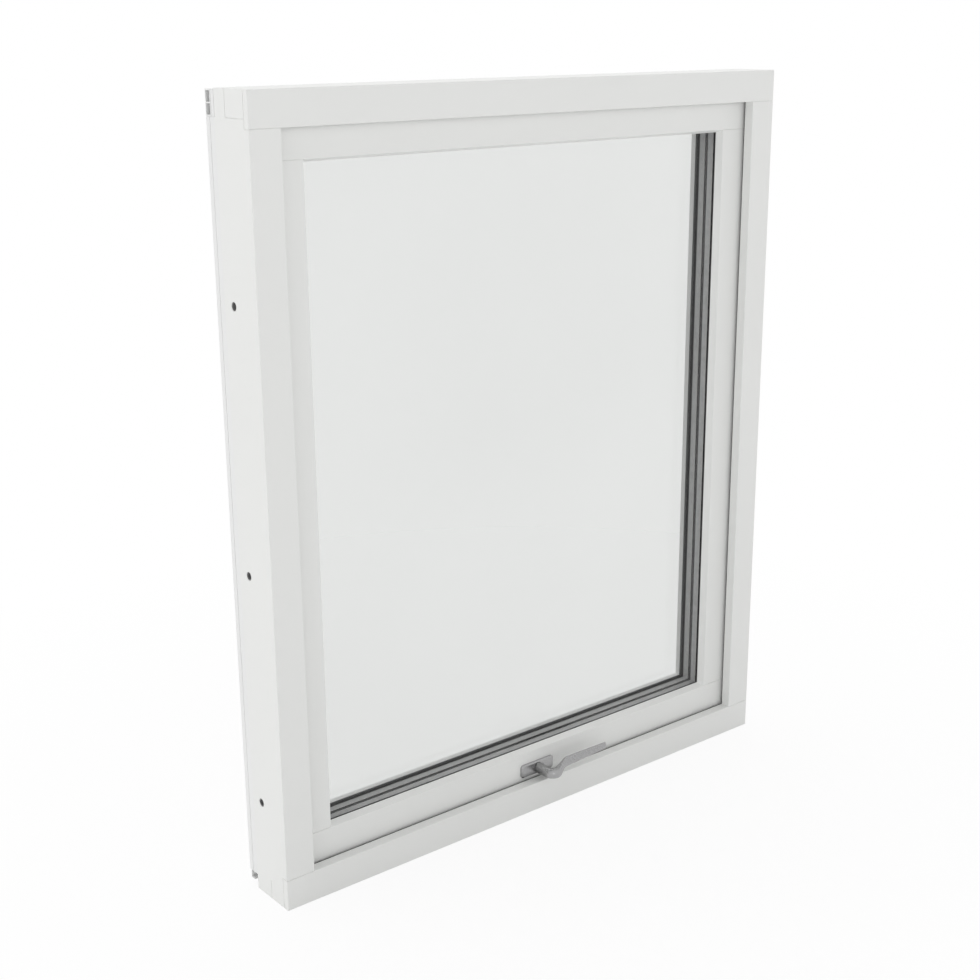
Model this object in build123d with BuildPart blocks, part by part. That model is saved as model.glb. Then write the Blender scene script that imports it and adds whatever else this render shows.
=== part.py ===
"""Reversible top-guided window: painted timber frame and sash, aluminium outside, triple glazed.

Millimetres, +Z up. X runs across the window, -Y is the room side, +Y is outdoors.
The origin is the middle of the sill's underside, half way through the timber's depth.
"""
import os
from math import cos, radians

from build123d import *

os.makedirs("parts", exist_ok=True)

# Overall size
frame_w = 1090.0
frame_h = 1290.0
timber_d = 94.0

# Frame section: a stop board on the room side and a web behind it
jamb_face = 53.0
head_face = 54.0
sill_face = 54.0
stop_d = 18.5
jamb_web = 23.0
head_web = 40.0
sill_web_in = 36.0
sill_web_out = 30.0
arris_r = 1.5
joint_line = 1.0

# Corner joints of the frame, as depths from the room face
head_lap = 12.0
head_tenon = 62.5
sill_lap = 13.0
sill_tenon = 50.0

# Sash section
sash_gap_x = 20.0
sash_gap_top = 8.0
sash_gap_bottom = 6.0
sash_face_d = 24.5
sash_timber_d = 59.5
stile_face = 49.6
top_rail_face = 47.6
bottom_rail_face = 51.6
chamfer_w = 5.0
glazing_lip_d = 13.1
glazing_rebate = 15.0
glass_inset = 3.0

# Glazing unit
pane_t = 4.0
cavity = 16.0
gasket_t = 2.4
gasket_outer_t = 3.5
gasket_w = 10.0
gasket_reveal = 1.0
spacer_w = 7.0
spacer_cover = 3.0

# Aluminium outside
clad_t = 2.0
clad_d = 24.0
clad_clip_d = 9.0
clad_key_l = 3.0
clad_groove_d = 14.0
clad_groove_w = 1.2
clad_top_gap = 2.0
clad_rib_drop = 20.0
nose_fall = 4.0
nose_bottom = 8.0
nose_return = 10.0
jamb_leg_z = 25.0
sash_clad_d = 13.5
sash_clad_cover = 0.5

# Weather seal in the back of the stops
seal_w = 6.0
seal_t = 1.0
seal_inset = 1.0

# Hinge: arms on pins, and sliders in guide rails
pivot_d = 48.0
slider_drop = 8.0
max_open = 80.0
arm_t = 3.0
arm_w = 22.0
arm_gap = 5.0
pin_r = 5.0
pin_play = 0.05
pin_head_r = 8.0
pin_head_t = 2.2
pin_head_play = 0.3
plate_t = 3.0
plate_w = 22.0
plate_r = 4.0
pivot_plate_l = 110.0
slider_plate_l = 60.0
rail_t = 3.0
rail_h = 7.0
rail_gap = 14.0
rail_top_gap = 4.0
rail_overrun = 18.0
shoe_r = 5.5
shoe_t = 4.5
shoe_play = 1.5
slider_pin_r = 4.0

# Fixing holes in the jambs
fix_r = 7.0
fix_d = 67.8
fix_low = 168.0
fix_middle = 558.0
fix_high = 979.0

# Handle
handle_x = 4.0
handle_rise = 17.5
rose_w = 76.0
rose_h = 25.0
rose_t = 5.0
rose_r = 6.0
rose_bevel = 2.5
rose_dish_w = 27.0
rose_dish_h = 20.0
rose_dish_t = 1.0
neck_r = 9.5
neck_play = 0.1
neck_l = 32.5
bend_r = 11.0
sweep_parts = 6
blade_x = 38.0
blade_rise = 13.0
blade_back = 3.5
blade_t = 7.0
blade_h = 20.0
lever_l = 137.0
tip_back = 6.5
tip_t = 5.0
tip_h = 13.5
tip_r = 1.0
neck_seat = 4.0
spindle_side = 7.0
spindle_l = 31.0
spindle_hole_r = 5.5
spindle_hole_l = 32.0

# Places that follow from the sizes above
front_y = -timber_d / 2
half_w = frame_w / 2
lip_x = half_w - jamb_face
web_x = half_w - jamb_web
stop_y = front_y + stop_d
back_y = front_y + timber_d
head_z = frame_h - head_face
head_web_z = frame_h - head_web
sash_x = web_x - sash_gap_x
sash_z0 = sill_web_in + sash_gap_bottom
sash_z1 = head_web_z - sash_gap_top
sash_y = front_y + sash_face_d
sash_back = sash_y + sash_timber_d
open_x = lip_x - stile_face
open_z0 = sill_face + bottom_rail_face
open_z1 = head_z - top_rail_face
sight_x = open_x - chamfer_w
sight_z0 = open_z0 + chamfer_w
sight_z1 = open_z1 - chamfer_w
glazing_y = sash_y + glazing_lip_d
rebate_x = sight_x + glazing_rebate
rebate_z0 = sight_z0 - glazing_rebate
rebate_z1 = sight_z1 + glazing_rebate
glass_x = rebate_x - glass_inset
glass_z0 = rebate_z0 + glass_inset
glass_z1 = rebate_z1 - glass_inset
pivot_y = front_y + pivot_d
slider_z = sash_z1 - slider_drop
frame_pivot_z = (sash_z0 + sash_z1) / 2
arm_l = (slider_z - frame_pivot_z) / 2
sash_pivot_z = frame_pivot_z + arm_l
arm_x0 = sash_x + arm_gap
arm_x1 = arm_x0 + arm_t
rail_z0 = frame_pivot_z + 2 * arm_l * cos(radians(max_open)) - rail_overrun
rail_z1 = head_web_z - rail_top_gap
shoe_x1 = web_x - shoe_play
shoe_x0 = shoe_x1 - shoe_t
handle_z = sill_face + handle_rise
rose_y = sash_y - rose_t
bend_y = sash_y - neck_l


def sill_top(depth):
    """Height of the sill's falling top at a depth from the room face."""
    run = (depth - stop_d) / (timber_d - stop_d)
    return sill_web_in - (sill_web_in - sill_web_out) * run


def bar(plane, low, high, length, mode=Mode.ADD):
    """A rectangle between two corners of a plane, extruded along its normal."""
    with BuildSketch(plane) as section:
        with Locations(((low[0] + high[0]) / 2, (low[1] + high[1]) / 2)):
            Rectangle(high[0] - low[0], high[1] - low[1])
    extrude(section.sketch, amount=length, mode=mode)


def block(x, y, z, mode=Mode.ADD):
    """A rectangular length of material between two limits on each axis."""
    bar(Plane.XY.offset(z[0]), (x[0], y[0]), (x[1], y[1]), z[1] - z[0], mode)


def moulding_x(points, x0, x1, mode=Mode.ADD):
    """A section of (y, z) points, run from x0 to x1."""
    with BuildSketch(Plane.YZ.offset(x0)) as section:
        with BuildLine():
            Polyline(*points, close=True)
        make_face()
    extrude(section.sketch, amount=x1 - x0, mode=mode)


def moulding_z(points, z0, z1):
    """A section of (x, y) points, run from z0 to z1."""
    with BuildSketch(Plane.XY.offset(z0)) as section:
        with BuildLine():
            Polyline(*points, close=True)
        make_face()
    extrude(section.sketch, amount=z1 - z0)


def end_lines(y, z):
    """An upright joint line cut in both ends of a piece as wide as the frame."""
    block((half_w - joint_line, half_w), y, z, Mode.SUBTRACT)
    block((-half_w, joint_line - half_w), y, z, Mode.SUBTRACT)


def loop_y(inner, outer, y0, depth):
    """A rectangular loop in the window's plane; each size is half width, bottom and top."""
    block((-outer[0], outer[0]), (y0, y0 + depth), (outer[1], outer[2]))
    block((-inner[0], inner[0]), (y0, y0 + depth), (inner[1], inner[2]), Mode.SUBTRACT)


def disc_x(x0, x1, radius, z):
    """A round pin or head along X on the hinge's line."""
    with BuildSketch(Plane.YZ.offset(x0)) as section:
        with Locations((pivot_y, z)):
            Circle(radius)
    extrude(section.sketch, amount=x1 - x0)


def plate_x(x0, length, z):
    """A round-cornered hinge plate in the side of a jamb or stile."""
    with BuildSketch(Plane.YZ.offset(x0)) as section:
        with Locations((pivot_y, z)):
            RectangleRounded(plate_w, length, plate_r)
    extrude(section.sketch, amount=plate_t)


def save(item, name, hexcode):
    """Label, colour and write one node."""
    item.label = name
    item.color = Color(hexcode)
    export_step(item, f"parts/{name}.step")


def save_pair(item, name, hexcode):
    """Write a right-hand piece and its left-hand twin."""
    save(item, f"{name}_right", hexcode)
    save(mirror(item, about=Plane.YZ), f"{name}_left", hexcode)


# Hinge pieces
with BuildPart() as rail_front:
    block((web_x - rail_h, web_x), (pivot_y - rail_gap / 2 - rail_t, pivot_y - rail_gap / 2), (rail_z0, rail_z1))

with BuildPart() as rail_rear:
    block((web_x - rail_h, web_x), (pivot_y + rail_gap / 2, pivot_y + rail_gap / 2 + rail_t), (rail_z0, rail_z1))

with BuildPart() as arm:
    with BuildSketch(Plane.YZ.offset(arm_x0)):
        with Locations((pivot_y, (frame_pivot_z + sash_pivot_z) / 2)):
            SlotCenterToCenter(arm_l, arm_w, rotation=90)
        with Locations((pivot_y, frame_pivot_z), (pivot_y, sash_pivot_z)):
            Circle(pin_r + pin_play, mode=Mode.SUBTRACT)
    extrude(amount=arm_t)

with BuildPart() as frame_pivot:
    plate_x(web_x, pivot_plate_l, frame_pivot_z)
    disc_x(arm_x0 - pin_head_play, web_x, pin_r, frame_pivot_z)
    disc_x(arm_x0 - pin_head_play - pin_head_t, arm_x0 - pin_head_play, pin_head_r, frame_pivot_z)

with BuildPart() as sash_pivot:
    plate_x(sash_x - plate_t, pivot_plate_l, sash_pivot_z)
    disc_x(sash_x, arm_x1 + pin_head_play, pin_r, sash_pivot_z)
    disc_x(arm_x1 + pin_head_play, arm_x1 + pin_head_play + pin_head_t, pin_head_r, sash_pivot_z)

with BuildPart() as slider:
    plate_x(sash_x - plate_t, slider_plate_l, sash_z1 - slider_plate_l / 2)
    disc_x(sash_x, shoe_x0, slider_pin_r, slider_z)
    disc_x(shoe_x0, shoe_x1, shoe_r, slider_z)

# Stop boards: head and sill boards lap over the jamb boards at the corners
with BuildPart() as stop_head:
    block((-half_w, half_w), (front_y, front_y + head_lap), (head_z, frame_h))
    block((-lip_x, lip_x), (front_y + head_lap, stop_y), (head_z, frame_h))
    fillet(stop_head.faces().sort_by(Axis.Y)[0].edges(), arris_r)
    end_lines((front_y + head_lap - joint_line, front_y + head_lap), (head_z, frame_h))

with BuildPart() as stop_sill:
    block((-half_w, half_w), (front_y, front_y + sill_lap), (0.0, sill_face))
    block((-lip_x, lip_x), (front_y + sill_lap, stop_y), (0.0, sill_face))
    fillet(stop_sill.faces().sort_by(Axis.Y)[0].edges(), arris_r)
    end_lines((front_y + sill_lap - joint_line, front_y + sill_lap), (0.0, sill_face))

with BuildPart() as stop_jamb:
    block((lip_x, half_w), (front_y, stop_y), (0.0, frame_h))
    block((lip_x, half_w), (front_y, front_y + head_lap), (head_z, frame_h), Mode.SUBTRACT)
    block((lip_x, half_w), (front_y, front_y + sill_lap), (0.0, sill_face), Mode.SUBTRACT)
    fillet(stop_jamb.edges().filter_by(Axis.Z).group_by(Axis.Y)[0], arris_r)
    line_z = (head_web_z - joint_line, head_web_z)
    line_x = (half_w - joint_line, half_w)
    block(line_x, (front_y + head_lap, stop_y), line_z, Mode.SUBTRACT)
    for board_z, lap in ((head_z - joint_line, head_lap), (sill_face, sill_lap)):
        board_line = (board_z, board_z + joint_line)
        block((lip_x, half_w), (front_y, front_y + joint_line), board_line, Mode.SUBTRACT)
        block(line_x, (front_y, front_y + lap), board_line, Mode.SUBTRACT)

# Webs of the frame behind the stops, with their corner joints
with BuildPart() as frame_head:
    block((-web_x, web_x), (stop_y, back_y), (head_web_z, frame_h))
    block((-half_w, half_w), (front_y + head_tenon, back_y), (head_web_z, frame_h))
    end_lines((front_y + head_tenon, front_y + head_tenon + joint_line), (head_web_z, frame_h))
    end_lines((back_y - joint_line, back_y), (head_web_z, frame_h))

sill_inner_pts = (
    (stop_y, 0.0),
    (front_y + sill_tenon, 0.0),
    (front_y + sill_tenon, sill_top(sill_tenon)),
    (stop_y, sill_web_in),
)
sill_outer_pts = (
    (front_y + sill_tenon, 0.0),
    (back_y, 0.0),
    (back_y, sill_web_out),
    (front_y + sill_tenon, sill_top(sill_tenon)),
)
with BuildPart() as frame_sill:
    moulding_x(sill_inner_pts, -web_x, web_x)
    moulding_x(sill_outer_pts, -half_w, half_w)
    end_lines((front_y + sill_tenon, front_y + sill_tenon + joint_line), (0.0, sill_web_in))

with BuildPart() as frame_jamb:
    block((web_x, half_w), (stop_y, back_y), (0.0, frame_h))
    block((web_x, half_w), (front_y + head_tenon, back_y), (head_web_z, frame_h), Mode.SUBTRACT)
    moulding_x(sill_outer_pts, web_x, half_w, Mode.SUBTRACT)
    block(line_x, (stop_y, front_y + head_tenon - joint_line), line_z, Mode.SUBTRACT)
    add(frame_pivot.part, mode=Mode.SUBTRACT)
    for hole_z in (fix_low, fix_middle, fix_high):
        with Locations((half_w - jamb_web / 2, front_y + fix_d, hole_z)):
            Cylinder(fix_r, 2 * jamb_web, rotation=(0, 90, 0), mode=Mode.SUBTRACT)

# Sash timber: rails run the full width, stiles stand between them
rail_top_pts = (
    (sash_y, open_z1),
    (glazing_y, sight_z1),
    (glazing_y, rebate_z1),
    (sash_back, rebate_z1),
    (sash_back, sash_z1),
    (sash_y, sash_z1),
)
rail_bottom_pts = (
    (sash_y, sash_z0),
    (sash_back, sash_z0),
    (sash_back, rebate_z0),
    (glazing_y, rebate_z0),
    (glazing_y, sight_z0),
    (sash_y, open_z0),
)
with BuildPart() as sash_top_rail:
    moulding_x(rail_top_pts, -sash_x, sash_x)
    add(slider.part, mode=Mode.SUBTRACT)
    add(mirror(slider.part, about=Plane.YZ), mode=Mode.SUBTRACT)

with BuildPart() as sash_bottom_rail:
    moulding_x(rail_bottom_pts, -sash_x, sash_x)
    with Locations((handle_x, sash_y, handle_z)):
        Cylinder(spindle_hole_r, 2 * spindle_hole_l, rotation=(90, 0, 0), mode=Mode.SUBTRACT)

stile_pts = (
    (open_x, sash_y),
    (sash_x, sash_y),
    (sash_x, sash_back),
    (rebate_x, sash_back),
    (rebate_x, glazing_y),
    (sight_x, glazing_y),
)
with BuildPart() as sash_stile:
    moulding_z(stile_pts, sash_z0, sash_z1)
    moulding_x(rail_top_pts, 0.0, sash_x, Mode.SUBTRACT)
    moulding_x(rail_bottom_pts, 0.0, sash_x, Mode.SUBTRACT)
    for joint_z in (open_z0, open_z1 - joint_line):
        block((sight_x, sash_x), (sash_y, sash_y + joint_line), (joint_z, joint_z + joint_line), Mode.SUBTRACT)
    add(sash_pivot.part, mode=Mode.SUBTRACT)
    add(slider.part, mode=Mode.SUBTRACT)

# Glazing unit: three panes, two spacer bars and a gasket on each side
pane_1_y = glazing_y + gasket_t
spacer_1_y = pane_1_y + pane_t
pane_2_y = spacer_1_y + cavity
spacer_2_y = pane_2_y + pane_t
pane_3_y = spacer_2_y + cavity
unit_back = pane_3_y + pane_t
with BuildPart() as pane_1:
    block((-glass_x, glass_x), (pane_1_y, pane_1_y + pane_t), (glass_z0, glass_z1))
with BuildPart() as pane_2:
    block((-glass_x, glass_x), (pane_2_y, pane_2_y + pane_t), (glass_z0, glass_z1))
with BuildPart() as pane_3:
    block((-glass_x, glass_x), (pane_3_y, pane_3_y + pane_t), (glass_z0, glass_z1))

spacer_in = (sight_x + spacer_cover, sight_z0 - spacer_cover, sight_z1 + spacer_cover)
spacer_out = (spacer_in[0] + spacer_w, spacer_in[1] - spacer_w, spacer_in[2] + spacer_w)
with BuildPart() as spacer_1:
    loop_y(spacer_in, spacer_out, spacer_1_y, cavity)
with BuildPart() as spacer_2:
    loop_y(spacer_in, spacer_out, spacer_2_y, cavity)

gasket_in = (sight_x + gasket_reveal, sight_z0 - gasket_reveal, sight_z1 + gasket_reveal)
gasket_out = (gasket_in[0] + gasket_w, gasket_in[1] - gasket_w, gasket_in[2] + gasket_w)
with BuildPart() as gasket_inner:
    loop_y(gasket_in, gasket_out, glazing_y, gasket_t)
with BuildPart() as gasket_outer:
    loop_y(gasket_in, gasket_out, unit_back, gasket_outer_t)

# Aluminium outside of the sash: a lip on the glass, a front wall and legs to the timber
sash_clad_y0 = unit_back + gasket_outer_t
sash_clad_y1 = sash_back + sash_clad_d


def sash_clad_section(inner, outer, rebate):
    """Section as (across, depth) points, from the lip on the glass outward."""
    wall_y = sash_clad_y1 - clad_t
    leg = rebate + clad_t
    return (
        (inner, sash_clad_y0),
        (inner, sash_clad_y1),
        (outer, sash_clad_y1),
        (outer, sash_back),
        (outer - clad_t, sash_back),
        (outer - clad_t, wall_y),
        (leg + clad_t, wall_y),
        (leg + clad_t, sash_back),
        (leg, sash_back),
        (leg, wall_y),
        (inner + clad_t, wall_y),
        (inner + clad_t, sash_clad_y0),
    )


sash_clad_x = sight_x + sash_clad_cover
sash_clad_z0 = sight_z0 - sash_clad_cover
sash_clad_z1 = sight_z1 + sash_clad_cover
up_pts = [(depth, across) for across, depth in sash_clad_section(sash_clad_z1, sash_z1, rebate_z1)]
down_pts = [(depth, -across) for across, depth in sash_clad_section(-sash_clad_z0, -sash_z0, -rebate_z0)]
with BuildPart() as sash_clad_top:
    moulding_x(up_pts, -sash_x, sash_x)
with BuildPart() as sash_clad_bottom:
    moulding_x(down_pts, -sash_x, sash_x)
with BuildPart() as sash_clad_stile:
    moulding_z(sash_clad_section(sash_clad_x, sash_x, rebate_x), sash_clad_z0, sash_clad_z1)

# Aluminium outside of the frame: a clip chamber on the timber and a hollow front
clad_y = back_y + clad_d
clad_top_z = frame_h - clad_top_gap
clip_y = (back_y, back_y + clad_clip_d)
hollow_y = (back_y + clad_clip_d + clad_t, clad_y - clad_t)
groove_y = (back_y + clad_groove_d - clad_groove_w, back_y + clad_groove_d)
with BuildPart() as clad_head:
    rib_z = clad_top_z - clad_rib_drop
    block((-half_w, half_w), (back_y, clad_y), (head_web_z, clad_top_z))
    block((-half_w, half_w), hollow_y, (head_web_z + clad_t, rib_z), Mode.SUBTRACT)
    block((-half_w, half_w), hollow_y, (rib_z + clad_t, clad_top_z - clad_t), Mode.SUBTRACT)
    clip_z = (head_web_z + clad_t, clad_top_z - clad_t)
    block((clad_key_l - half_w, half_w - clad_key_l), clip_y, clip_z, Mode.SUBTRACT)
    end_lines((back_y + clad_clip_d - joint_line, back_y + clad_clip_d), (head_web_z, clad_top_z))

with BuildPart() as clad_jamb:
    hollow_x = (web_x + clad_t, half_w - clad_t)
    block((web_x, half_w), (back_y, clad_y), (jamb_leg_z, head_web_z))
    block(hollow_x, hollow_y, (jamb_leg_z, head_web_z), Mode.SUBTRACT)
    block(hollow_x, clip_y, (jamb_leg_z, head_web_z), Mode.SUBTRACT)
    block((web_x, half_w - clad_t), (back_y, clad_y), (jamb_leg_z, sill_web_out), Mode.SUBTRACT)
    block((half_w - clad_t / 2, half_w), groove_y, (jamb_leg_z, head_web_z), Mode.SUBTRACT)
    block(line_x, (back_y, clad_y), line_z, Mode.SUBTRACT)

nose_top = sill_web_out - nose_fall
nose_pts = (
    (back_y, sill_web_out - clad_t),
    (clad_y - clad_t, nose_top - clad_t),
    (clad_y - clad_t, nose_bottom + clad_t),
    (clad_y - nose_return, nose_bottom + clad_t),
    (clad_y - nose_return, nose_bottom),
    (clad_y, nose_bottom),
    (clad_y, nose_top),
    (back_y, sill_web_out),
)
with BuildPart() as clad_sill:
    moulding_x(nose_pts, clad_t - half_w, half_w - clad_t)

# Weather seal round the back of the stops
seal_in = (lip_x + seal_inset, sill_face - seal_inset, head_z + seal_inset)
seal_out = (seal_in[0] + seal_w, seal_in[1] - seal_w, seal_in[2] + seal_w)
with BuildPart() as frame_seal:
    loop_y(seal_in, seal_out, stop_y, seal_t)

# Handle: a bevelled rose with a dished seat, and the lever turning in it
with BuildPart() as rose:
    with BuildSketch(Plane.XZ.offset(-sash_y)):
        with Locations((handle_x, handle_z)):
            RectangleRounded(rose_w, rose_h, rose_r)
    extrude(amount=rose_t)
    chamfer(rose.faces().sort_by(Axis.Y)[0].edges(), rose_bevel)
    with BuildSketch(Plane.XZ.offset(-rose_y)):
        with Locations((handle_x, handle_z)):
            SlotOverall(rose_dish_w, rose_dish_h)
    extrude(amount=-rose_dish_t, mode=Mode.SUBTRACT)
    with Locations((handle_x, sash_y, handle_z)):
        Cylinder(neck_r + neck_play, 4 * rose_t, rotation=(90, 0, 0), mode=Mode.SUBTRACT)

lever_root_y = sash_y - rose_t + neck_seat
bend_x = handle_x + bend_r
out_y = bend_y - bend_r
stations = []
for part in range(sweep_parts + 1):
    share = part / sweep_parts
    ease = share * share * (3 - 2 * share)
    stations.append((
        bend_x + (handle_x + blade_x - bend_x) * share,
        out_y + blade_back * ease,
        handle_z + blade_rise * ease,
        neck_r + (blade_t / 2 - neck_r) * ease,
        neck_r + (blade_h / 2 - neck_r) * ease,
    ))
stations.append((handle_x + lever_l, out_y + tip_back, handle_z + blade_rise, tip_t / 2, tip_h / 2))
with BuildPart() as lever:
    with BuildSketch(Plane.XZ.offset(-lever_root_y)):
        with Locations((handle_x, handle_z)):
            Circle(neck_r)
    extrude(amount=lever_root_y - bend_y)
    with BuildSketch(Plane.XZ.offset(-bend_y)):
        with Locations((handle_x, handle_z)):
            Circle(neck_r)
    revolve(axis=Axis((bend_x, bend_y, 0), (0, 0, 1)), revolution_arc=90)
    for station_x, station_y, station_z, half_t, half_h in stations:
        with BuildSketch(Plane.YZ.offset(station_x)):
            with Locations((station_y, station_z)):
                Ellipse(half_h, half_t, rotation=90)
    loft(ruled=True)
    for inset in (0.0, tip_r):
        with BuildSketch(Plane.YZ.offset(handle_x + lever_l + inset)):
            with Locations((out_y + tip_back, handle_z + blade_rise)):
                Ellipse(tip_h / 2 - inset, tip_t / 2 - inset, rotation=90)
    loft(ruled=True)

with BuildPart() as spindle:
    with Locations((handle_x, lever_root_y + spindle_l / 2, handle_z)):
        Box(spindle_side, spindle_l, spindle_side)

white = "#F1F1EE"
alu = "#D9DADA"
steel = "#A9ADB0"
black = "#2B2C2D"
glass = "#CFE3E0"
satin = "#A6A7A5"

save(stop_head.part, "frame_stop_head", white)
save(stop_sill.part, "frame_stop_sill", white)
save_pair(stop_jamb.part, "frame_stop", white)
save(frame_head.part, "frame_head", white)
save(frame_sill.part, "frame_sill", white)
save_pair(frame_jamb.part, "frame_jamb", white)
save(clad_head.part, "frame_cladding_head", alu)
save(clad_sill.part, "frame_cladding_sill", alu)
save_pair(clad_jamb.part, "frame_cladding", alu)
save(frame_seal.part, "frame_seal", black)
save_pair(rail_front.part, "slide_rail_front", steel)
save_pair(rail_rear.part, "slide_rail_rear", steel)
save_pair(frame_pivot.part, "frame_pivot", steel)
save_pair(arm.part, "hinge_arm", steel)
save_pair(sash_pivot.part, "sash_pivot", steel)
save_pair(slider.part, "slider", steel)
save(sash_top_rail.part, "sash_top_rail", white)
save(sash_bottom_rail.part, "sash_bottom_rail", white)
save_pair(sash_stile.part, "sash_stile", white)
save(sash_clad_top.part, "sash_cladding_top", alu)
save(sash_clad_bottom.part, "sash_cladding_bottom", alu)
save_pair(sash_clad_stile.part, "sash_cladding", alu)
save(pane_1.part, "glass_inner", glass)
save(pane_2.part, "glass_middle", glass)
save(pane_3.part, "glass_outer", glass)
save(spacer_1.part, "spacer_inner", steel)
save(spacer_2.part, "spacer_outer", steel)
save(gasket_inner.part, "glazing_gasket_inner", black)
save(gasket_outer.part, "glazing_gasket_outer", black)
save(rose.part, "handle_rose", satin)
save(lever.part, "handle_lever", satin)
save(spindle.part, "handle_spindle", steel)
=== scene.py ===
"""Looks of the window: paint, aluminium, glass, seals and screws, with studio, floor and camera."""
import math

import bpy
from mathutils import Matrix, Vector


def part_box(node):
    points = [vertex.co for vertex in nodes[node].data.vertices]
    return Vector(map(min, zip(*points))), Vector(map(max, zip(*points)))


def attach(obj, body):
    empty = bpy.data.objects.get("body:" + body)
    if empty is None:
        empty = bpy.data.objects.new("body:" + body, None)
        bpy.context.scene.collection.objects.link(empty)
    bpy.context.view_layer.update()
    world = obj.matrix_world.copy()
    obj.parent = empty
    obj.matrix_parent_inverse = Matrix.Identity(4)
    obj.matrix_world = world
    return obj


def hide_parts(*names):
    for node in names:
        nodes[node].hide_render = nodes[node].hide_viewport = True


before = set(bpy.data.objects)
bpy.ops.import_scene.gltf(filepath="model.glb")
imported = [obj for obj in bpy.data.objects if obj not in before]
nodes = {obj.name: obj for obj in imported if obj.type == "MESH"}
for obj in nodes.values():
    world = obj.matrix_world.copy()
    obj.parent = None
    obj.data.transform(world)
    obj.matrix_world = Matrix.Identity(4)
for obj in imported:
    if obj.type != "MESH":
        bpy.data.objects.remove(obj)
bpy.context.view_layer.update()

# Camera, in metres and degrees from the origin under the sill
CAMERA_AT = Vector((-1.6636, -1.9678, 1.3782))
CAMERA_AZIMUTH = -38.7928
CAMERA_TILT = 16.8913
CAMERA_ROLL = -0.4312
LENS = 56.77

# Studio light: a band round the horizon, and a soft light over and behind
SKY_BASE = 0.05
SKY_BAND = 1.10
SKY_BAND_H = 0.42
SKY_FORE = 0.12
SKY_OVER = 2.20
FLOOR_HALF = 12.0
FLOOR_COLOUR = (0.86, 0.86, 0.86)
FLOOR_SHADE = 0.10
FLOOR_SHADE_FROM = 0.3
FLOOR_SHADE_R = 1.6

MM = 0.001

# Sizes that the added pieces share with the solids
HINGE_PLATE_T = 3.0 * MM
SPACER_W = 7.0 * MM
SEAL_W = 6.0 * MM
STOP_D = 18.5 * MM
FIXING_D = 67.8 * MM
FIXING_HEIGHTS = (168 * MM, 558 * MM, 979 * MM)

# Bulb seal: a foot along the stops, and a hollow bulb that meets the sash
SEAL_SET_BACK = 2.4 * MM
SEAL_PLAY = 0.1 * MM
SEAL_FOOT_T = 0.8 * MM
SEAL_FOOT_INSET = 0.4 * MM
BULB_SQUASH = 0.85
BULB_FROM = -40
BULB_SWEEP = 260
BULB_STEPS = 12

# Sealant strips: thickness, and reach to both sides of the spacer bar's edge
SEALANT_T = 1.3 * MM
SEALANT_IN = 0.35 * MM
SEALANT_OUT = 1.0 * MM

# Turned pieces: how far each screw is below the top of its plate, and the rings of
# each piece as share of its radius, rise above the face, and depth of its star shape
HINGE_SCREW_DROPS = (99 * MM, 77 * MM, 33 * MM, 11 * MM)
SLIDER_SCREW_DROPS = (24 * MM, 38 * MM, 52 * MM)
RING_SIDES = 32
SCREW_R = 3.6 * MM
SCREW_RINGS = (
    (1.0, -0.5 * MM, 0.0),
    (1.0, 0.15 * MM, 0.0),
    (0.9, 0.35 * MM, 0.0),
    (0.6, 0.5 * MM, 0.3),
    (0.55, 0.45 * MM, 0.6),
    (0.4, -0.6 * MM, 0.6),
)
SLEEVE_R = 6.9 * MM
SLEEVE_RINGS = (
    (1.0, -6.0 * MM, 0.0),
    (1.0, -0.9 * MM, 0.0),
    (0.95, -0.6 * MM, 0.0),
    (0.82, -0.6 * MM, 0.0),
    (0.78, -1.0 * MM, 0.0),
    (0.78, -4.6 * MM, 0.0),
    (0.62, -4.9 * MM, 0.25),
    (0.60, -5.8 * MM, 0.25),
)


def make_camera():
    """The photograph's viewpoint."""
    azimuth = math.radians(CAMERA_AZIMUTH)
    tilt = math.radians(CAMERA_TILT)
    roll = math.radians(CAMERA_ROLL)
    level = math.cos(tilt)
    back = Vector((math.sin(azimuth) * level, -math.cos(azimuth) * level, math.sin(tilt)))
    right = (-back).cross(Vector((0, 0, 1))).normalized()
    up = back.cross(right)
    rolled_right = right * math.cos(roll) + up * math.sin(roll)
    rolled_up = up * math.cos(roll) - right * math.sin(roll)
    data = bpy.data.cameras.new("camera")
    data.lens = LENS
    data.sensor_width = 36.0
    data.clip_end = 60.0
    camera = bpy.data.objects.new("camera", data)
    turn = Matrix((rolled_right, rolled_up, back)).transposed()
    camera.matrix_world = Matrix.Translation(CAMERA_AT) @ turn.to_4x4()
    bpy.context.scene.collection.objects.link(camera)
    bpy.context.scene.camera = camera


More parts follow.
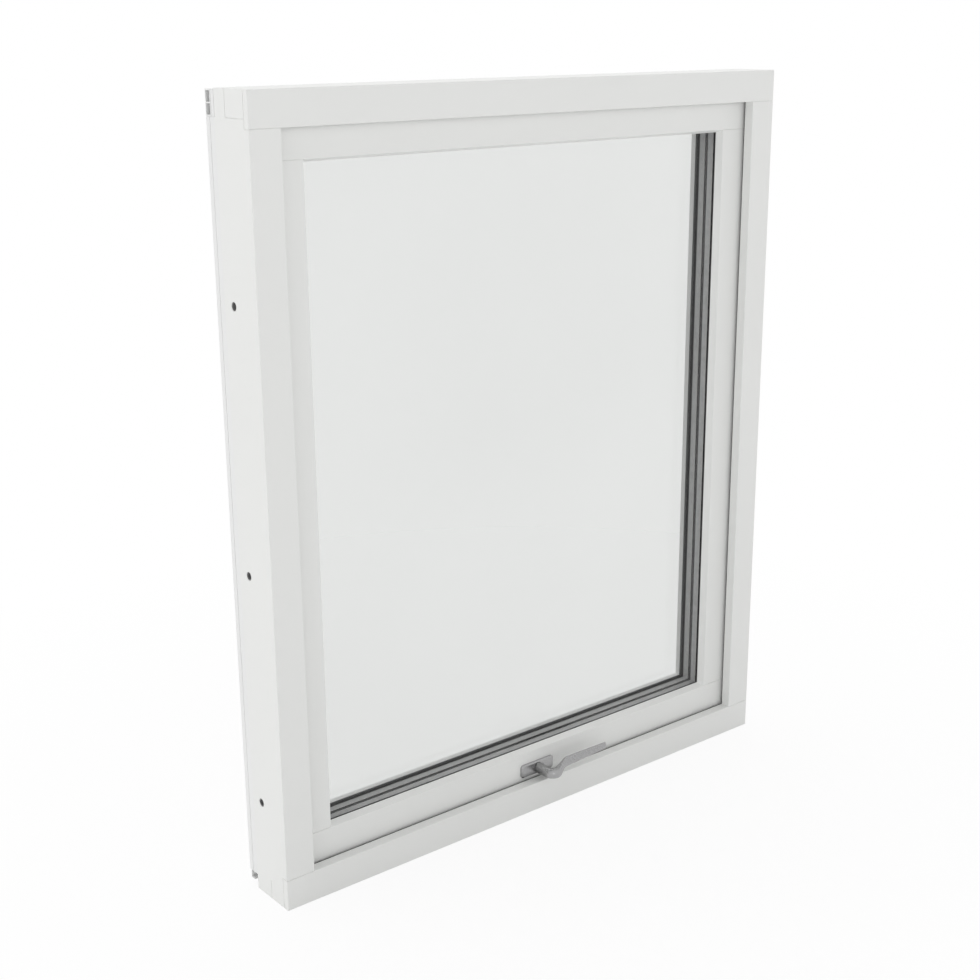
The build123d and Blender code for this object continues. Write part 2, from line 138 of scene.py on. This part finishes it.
class Shader:
    """A material's node tree, with short calls for adding and joining nodes."""

    def __init__(self, block):
        block.use_nodes = True
        self.block = block
        self.tree = block.node_tree
        self.tree.nodes.clear()

    def node(self, kind, sockets=None, **settings):
        made = self.tree.nodes.new("ShaderNode" + kind)
        for key, value in settings.items():
            setattr(made, key, value)
        for key, value in (sockets or {}).items():
            made.inputs[key].default_value = value
        return made

    def join(self, source, output, target, socket):
        self.tree.links.new(source.outputs[output], target.inputs[socket])

    def math(self, operation, *terms):
        """A Math node over terms, each a number or a (node, output) pair; gives such a pair."""
        made = self.node("Math", operation=operation)
        for index, term in enumerate(terms):
            if isinstance(term, tuple):
                self.join(term[0], term[1], made, index)
            else:
                made.inputs[index].default_value = term
        return made, "Value"

    def ramp(self, source, output, stops):
        """Colour ramp over a factor, from (place, colour) stops."""
        made = self.node("ValToRGB")
        marks = made.color_ramp.elements
        while len(marks) < len(stops):
            marks.new(0.5)
        for mark, (place, colour) in zip(marks, stops):
            mark.position = place
            mark.color = (*colour, 1.0)
        self.join(source, output, made, "Fac")
        return made

    def noise(self, coordinates, scale, detail=2.0, stretch=(1.0, 1.0, 1.0)):
        """Noise over stretched object coordinates."""
        mapping = self.node("Mapping", {"Scale": stretch})
        made = self.node("TexNoise", {"Scale": scale, "Detail": detail})
        self.join(coordinates, "Object", mapping, "Vector")
        self.join(mapping, "Vector", made, "Vector")
        return made

    def bumps(self, heights, target):
        """Chain of bumps, each (node, output, strength, distance), into a shader's normal."""
        last = None
        for source, output, strength, distance in heights:
            bump = self.node("Bump", {"Strength": strength, "Distance": distance})
            self.join(source, output, bump, "Height")
            if last:
                self.join(last, "Normal", bump, "Normal")
            last = bump
        self.join(last, "Normal", target, "Normal")

    def finish(self, source, output, kind="OutputMaterial"):
        """Join the last shader to the output; gives the material or world."""
        self.join(source, output, self.node(kind), "Surface")
        return self.block


def shade(colour, factor):
    """The same colour, lighter or darker."""
    return tuple(channel * factor for channel in colour)


def material(name):
    """A new material's shader."""
    return Shader(bpy.data.materials.new(name))


def timber_paint(name, colour, grain_along):
    """Sprayed paint on timber: grain telegraphs faintly along the board, and the sheen varies."""
    s = material(name)
    stretch = [60.0, 60.0, 60.0]
    stretch[grain_along] = 2.0
    place = s.node("TexCoord")
    cloud = s.noise(place, 4.0, 4.0)
    grain = s.noise(place, 8.0, 6.0, stretch)
    peel = s.noise(place, 900.0)
    principled = s.node("BsdfPrincipled", {"Roughness": 0.42, "IOR": 1.48})
    tone = s.ramp(cloud, "Fac", ((0.25, shade(colour, 0.985)), (0.75, colour)))
    gloss = s.ramp(cloud, "Fac", ((0.2, (0.38, 0.38, 0.38)), (0.8, (0.46, 0.46, 0.46))))
    s.join(tone, "Color", principled, "Base Color")
    s.join(gloss, "Color", principled, "Roughness")
    s.bumps(((grain, "Fac", 0.10, 0.0004), (peel, "Fac", 0.06, 0.0002)), principled)
    return s.finish(principled, "BSDF")


def powder_coat(name, colour):
    """Powder coated aluminium: an even fine texture under a satin sheen."""
    s = material(name)
    place = s.node("TexCoord")
    cloud = s.noise(place, 5.0, 3.0)
    texture = s.noise(place, 2600.0, 3.0)
    waves = s.noise(place, 260.0, 2.0)
    principled = s.node("BsdfPrincipled", {"Roughness": 0.36, "IOR": 1.5})
    tone = s.ramp(cloud, "Fac", ((0.3, shade(colour, 0.98)), (0.7, colour)))
    s.join(tone, "Color", principled, "Base Color")
    s.bumps(((waves, "Fac", 0.05, 0.0003), (texture, "Fac", 0.12, 0.0001)), principled)
    return s.finish(principled, "BSDF")


def bare_metal(name, colour, rough, stretch, scale):
    """Brushed or blasted metal, with streaks along one direction and small clouds in its sheen."""
    s = material(name)
    place = s.node("TexCoord")
    cloud = s.noise(place, 40.0, 3.0)
    brush = s.noise(place, scale, 4.0, stretch)
    principled = s.node("BsdfPrincipled", {"Metallic": 1.0, "Roughness": rough})
    tone = s.ramp(cloud, "Fac", ((0.3, shade(colour, 0.96)), (0.7, colour)))
    gloss = s.ramp(brush, "Fac", ((0.2, (rough * 0.85,) * 3), (0.8, (rough * 1.15,) * 3)))
    s.join(tone, "Color", principled, "Base Color")
    s.join(gloss, "Color", principled, "Roughness")
    s.bumps(((brush, "Fac", 0.05, 0.00002),), principled)
    return s.finish(principled, "BSDF")


def soft_matt(name, colour, rough, scale):
    """Rubber, sealant or plastic with a fine matt surface."""
    s = material(name)
    place = s.node("TexCoord")
    cloud = s.noise(place, scale / 12.0, 3.0)
    pores = s.noise(place, scale, 2.0)
    principled = s.node("BsdfPrincipled", {"Roughness": rough, "IOR": 1.45})
    tone = s.ramp(cloud, "Fac", ((0.3, shade(colour, 0.85)), (0.7, colour)))
    s.join(tone, "Color", principled, "Base Color")
    s.bumps(((pores, "Fac", 0.15, 0.0002),), principled)
    return s.finish(principled, "BSDF")


def clear_glass(name, tint):
    """Flat pane: tinted see-through, and a reflection that grows at a slant on its outer side."""
    s = material(name)
    place = s.node("TexCoord")
    cloud = s.noise(place, 2.0, 1.0)
    tone = s.ramp(cloud, "Fac", ((0.3, shade(tint, 0.996)), (0.7, tint)))
    through = s.node("BsdfTransparent")
    gloss = s.node("BsdfGlossy", {"Roughness": 0.01})
    slant = s.node("LayerWeight", {"Blend": 0.5})
    side = s.node("NewGeometry")
    gain = s.math("MULTIPLY_ADD", s.math("POWER", (slant, "Facing"), 5.0), 0.96, 0.04)
    front = s.math("SUBTRACT", 1.0, (side, "Backfacing"))
    amount = s.math("MULTIPLY", gain, front)
    mix = s.node("MixShader")
    s.join(tone, "Color", through, "Color")
    s.join(*amount, mix, "Fac")
    s.join(through, "BSDF", mix, 1)
    s.join(gloss, "BSDF", mix, 2)
    return s.finish(mix, "Shader")


def seen_rays(s):
    """One where a ray comes from the camera, a reflection or a transmission."""
    path = s.node("LightPath")
    seen = s.math("MAXIMUM", (path, "Is Camera Ray"), (path, "Is Glossy Ray"))
    return s.math("MAXIMUM", seen, (path, "Is Transmission Ray"))


def make_world():
    """Studio light that is strong near the horizon and from over the back; it is seen as white."""
    world = bpy.data.worlds.new("studio")
    bpy.context.scene.world = world
    s = Shader(world)
    place = s.node("TexCoord")
    way = s.node("SeparateXYZ")
    s.join(place, "Generated", way, 0)
    height = (way, "Z")
    fall = s.math("MULTIPLY", s.math("MULTIPLY", height, height), -1 / SKY_BAND_H ** 2)
    fore = s.math("MULTIPLY_ADD", (way, "Y"), -SKY_BAND * SKY_FORE, SKY_BAND)
    band = s.math("MULTIPLY", s.math("EXPONENT", fall), fore)
    behind = s.math("MULTIPLY_ADD", (way, "Y"), SKY_OVER / 2, SKY_OVER / 2)
    over = s.math("MULTIPLY", s.math("MAXIMUM", height, 0.0), behind)
    level = s.math("ADD", s.math("ADD", band, over), SKY_BASE)
    light = s.node("Background", {"Color": (1, 1, 1, 1)})
    white = s.node("Background", {"Color": (1, 1, 1, 1), "Strength": 1.0})
    mix = s.node("MixShader")
    s.join(*level, light, "Strength")
    s.join(*seen_rays(s), mix, "Fac")
    s.join(light, "Background", mix, 1)
    s.join(white, "Background", mix, 2)
    s.finish(mix, "Shader", "OutputWorld")


def make_floor():
    """A pale floor that is seen as white, with the window's shadow near its foot."""
    mesh = bpy.data.meshes.new("floor")
    half = FLOOR_HALF
    corners = [(-half, -half, 0), (half, -half, 0), (half, half, 0), (-half, half, 0)]
    mesh.from_pydata(corners, [], [(0, 1, 2, 3)])
    floor = bpy.data.objects.new("floor", mesh)
    bpy.context.scene.collection.objects.link(floor)
    s = material("floor_white")
    place = s.node("TexCoord")
    reach = s.node("VectorMath", operation="LENGTH")
    fade = s.node("MapRange", {"From Min": FLOOR_SHADE_FROM, "From Max": FLOOR_SHADE_R,
                               "To Min": 1.0 - FLOOR_SHADE, "To Max": 1.0})
    amount = s.math("MULTIPLY", (fade, "Result"), seen_rays(s))
    diffuse = s.node("BsdfDiffuse", {"Color": (*FLOOR_COLOUR, 1.0)})
    white = s.node("Emission", {"Color": (1, 1, 1, 1), "Strength": 1.0})
    mix = s.node("MixShader")
    s.join(place, "Object", reach, 0)
    s.join(reach, "Value", fade, "Value")
    s.join(*amount, mix, "Fac")
    s.join(diffuse, "BSDF", mix, 1)
    s.join(white, "Emission", mix, 2)
    floor.data.materials.append(s.finish(mix, "Shader"))


def add_lamp(name, at, aim, size, power):
    """A soft square lamp that looks from one point to another."""
    data = bpy.data.lights.new(name, "AREA")
    data.size = size
    data.energy = power
    lamp = bpy.data.objects.new(name, data)
    lamp.location = at
    lamp.rotation_euler = (Vector(aim) - Vector(at)).to_track_quat("-Z", "Y").to_euler()
    bpy.context.scene.collection.objects.link(lamp)


def dress(look, *starts):
    """Give a material to every CAD node whose name starts with one of the words."""
    for name, thing in nodes.items():
        if name.startswith(starts):
            thing.data.materials.clear()
            thing.data.materials.append(look)


def new_piece(name, shape, look, body, smooth=False):
    """A mesh piece from points and faces, which rides on a body."""
    points, faces = shape
    mesh = bpy.data.meshes.new(name)
    mesh.from_pydata(points, [], faces)
    mesh.validate()
    for polygon in mesh.polygons:
        polygon.use_smooth = smooth
    piece = bpy.data.objects.new(name, mesh)
    piece.data.materials.append(look)
    bpy.context.scene.collection.objects.link(piece)
    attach(piece, body)
    return piece


def frame_run(profile, half_x, low_z, high_z):
    """A closed section run round a rectangle with mitred corners.

    The profile has (outward, y) points in metres; the rectangle is the opening's edge.
    """
    points = []
    for sign_x, sign_z in ((-1, -1), (1, -1), (1, 1), (-1, 1)):
        for out, depth in profile:
            edge_z = low_z - out if sign_z < 0 else high_z + out
            points.append((sign_x * (half_x + out), depth, edge_z))
    count = len(profile)
    faces = []
    for corner in range(4):
        here = corner * count
        there = (corner + 1) % 4 * count
        for step in range(count):
            after = (step + 1) % count
            faces.append((here + step, here + after, there + after, there + step))
    return points, faces


def stack_rings(rings):
    """Points of rings of equal count, with faces between the rings and over both ends."""
    count = len(rings[0])
    points = [point for ring in rings for point in ring]
    faces = []
    for low in range(0, len(points) - count, count):
        for step in range(count):
            after = (step + 1) % count
            faces.append((low + step, low + after, low + count + after, low + count + step))
    faces.append(tuple(reversed(range(count))))
    faces.append(tuple(range(len(points) - count, len(points))))
    return points, faces


def merge(parts):
    """One list of points and faces from several."""
    points = []
    faces = []
    for part_points, part_faces in parts:
        start = len(points)
        points.extend(part_points)
        faces.extend(tuple(index + start for index in face) for face in part_faces)
    return points, faces


def round_ring(centre, normal, radius, rise, lobes):
    """A circle round an axis along X, raised along it; lobes makes a four-armed star."""
    ring = []
    for step in range(RING_SIDES):
        angle = 2 * math.pi * step / RING_SIDES
        reach = radius * (1.0 - lobes + lobes * abs(math.cos(2 * angle)) ** 3)
        y = centre[1] + reach * math.cos(angle) * normal
        z = centre[2] + reach * math.sin(angle)
        ring.append((centre[0] + normal * rise, y, z))
    return ring


def turned(centre, normal, radius, rings):
    """A screw head or sleeve on an axis along X, from its table of rings."""
    return stack_rings([round_ring(centre, normal, radius * share, rise, lobes)
                        for share, rise, lobes in rings])


def plate_screws(name, normal, drops):
    """Countersunk heads down the open face of a hinge plate, which looks along X."""
    low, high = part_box(name)
    face_x = low[0] + HINGE_PLATE_T if normal > 0 else high[0] - HINGE_PLATE_T
    middle_y = (low[1] + high[1]) / 2
    return [turned((face_x, middle_y, high[2] - drop), normal, SCREW_R, SCREW_RINGS)
            for drop in drops]


bpy.context.scene.view_settings.view_transform = "Standard"
make_camera()
make_world()
make_floor()
add_lamp("softbox", at=(-1.6, -3.2, 1.5), aim=(0, 0, 0.6), size=0.5, power=4.0)

WHITE = (0.845, 0.850, 0.835)
paint_x = timber_paint("paint_across", WHITE, 0)
paint_z = timber_paint("paint_upright", WHITE, 2)
coat = powder_coat("coat", (0.835, 0.84, 0.835))
zinc = bare_metal("zinc", (0.66, 0.67, 0.67), rough=0.34, stretch=(1.0, 1.0, 1.0), scale=300.0)
satin = bare_metal("satin", (0.37, 0.37, 0.372), rough=0.27, stretch=(2.0, 30.0, 30.0), scale=120.0)
spacer_grey = soft_matt("spacer_grey", (0.42, 0.42, 0.42), rough=0.55, scale=1200.0)
rubber = soft_matt("rubber", (0.022, 0.022, 0.023), rough=0.62, scale=1500.0)
sleeve_grey = soft_matt("sleeve_grey", (0.20, 0.20, 0.20), rough=0.5, scale=900.0)
sealant = soft_matt("sealant", (0.018, 0.018, 0.018), rough=0.5, scale=700.0)
glass = clear_glass("glass", (0.963, 0.965, 0.963))

dress(paint_x, "frame_head", "frame_sill", "frame_stop_head", "frame_stop_sill",
      "sash_top", "sash_bottom")
dress(paint_z, "frame_jamb", "frame_stop_left", "frame_stop_right", "sash_stile")
dress(coat, "frame_cladding", "sash_cladding")
dress(zinc, "slide_rail", "frame_pivot", "sash_pivot", "slider", "hinge_arm", "handle_spindle")
dress(satin, "handle_rose", "handle_lever")
dress(spacer_grey, "spacer")
dress(rubber, "glazing_gasket", "frame_seal")
dress(glass, "glass_")

# Bulb seal in the back of the stops, in place of its plain strip; at the jambs it lies
# a little further from the opening
seal_low, seal_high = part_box("frame_seal")
seat_y = seal_low[1]
sash_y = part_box("sash_top_rail")[0][1]
foot_in, foot_out = SEAL_FOOT_INSET, SEAL_W - SEAL_FOOT_INSET
foot_top = seat_y + SEAL_FOOT_T
bulb_r = (sash_y - seat_y) / 2 - SEAL_PLAY
bulb = [(foot_in, seat_y), (foot_out, seat_y), (foot_out, foot_top)]
for step in range(BULB_STEPS + 1):
    turn = math.radians(BULB_FROM + step * BULB_SWEEP / BULB_STEPS)
    reach = SEAL_W / 2 + bulb_r * BULB_SQUASH * math.cos(turn)
    bulb.append((reach, sash_y - SEAL_PLAY - bulb_r * (1 - math.sin(turn))))
bulb.append((foot_in, foot_top))
half_x = seal_high[0] - SEAL_W + SEAL_SET_BACK
seal_run = frame_run(bulb, half_x, seal_low[2] + SEAL_W, seal_high[2] - SEAL_W)
bulb_seal = new_piece("bulb_seal", seal_run, rubber, "frame", smooth=True)
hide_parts("frame_seal")

# Black sealant beside the spacer bars, along both faces of each cavity
parts = []
for name in ("spacer_inner", "spacer_outer"):
    low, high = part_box(name)
    for near, far in ((low[1], low[1] + SEALANT_T), (high[1] - SEALANT_T, high[1])):
        section = [(-SEALANT_IN, near), (-SEALANT_IN, far), (SEALANT_OUT, far), (SEALANT_OUT, near)]
        parts.append(frame_run(section, high[0] - SPACER_W, low[2] + SPACER_W, high[2] - SPACER_W))
new_piece("unit_sealant", merge(parts), sealant, "sash")

# Screws in the hinge plates and the sliders' plates
frame_parts = []
sash_parts = []
for side, word in ((-1, "left"), (1, "right")):
    frame_parts += plate_screws("frame_pivot_" + word, -side, HINGE_SCREW_DROPS)
    sash_parts += plate_screws("sash_pivot_" + word, side, HINGE_SCREW_DROPS)
    sash_parts += plate_screws("slider_" + word, side, SLIDER_SCREW_DROPS)
new_piece("frame_screws", merge(frame_parts), zinc, "frame")
new_piece("sash_screws", merge(sash_parts), zinc, "sash")

# Adjustable fixing sleeves in the jamb holes: a rim, a bore and a star drive at its foot
low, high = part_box("frame_jamb_left")
hole_y = low[1] - STOP_D + FIXING_D
parts = []
for side in (-1, 1):
    for height in FIXING_HEIGHTS:
        parts.append(turned((side * -low[0], hole_y, height), side, SLEEVE_R, SLEEVE_RINGS))
new_piece("fixing_sleeves", merge(parts), sleeve_grey, "frame")
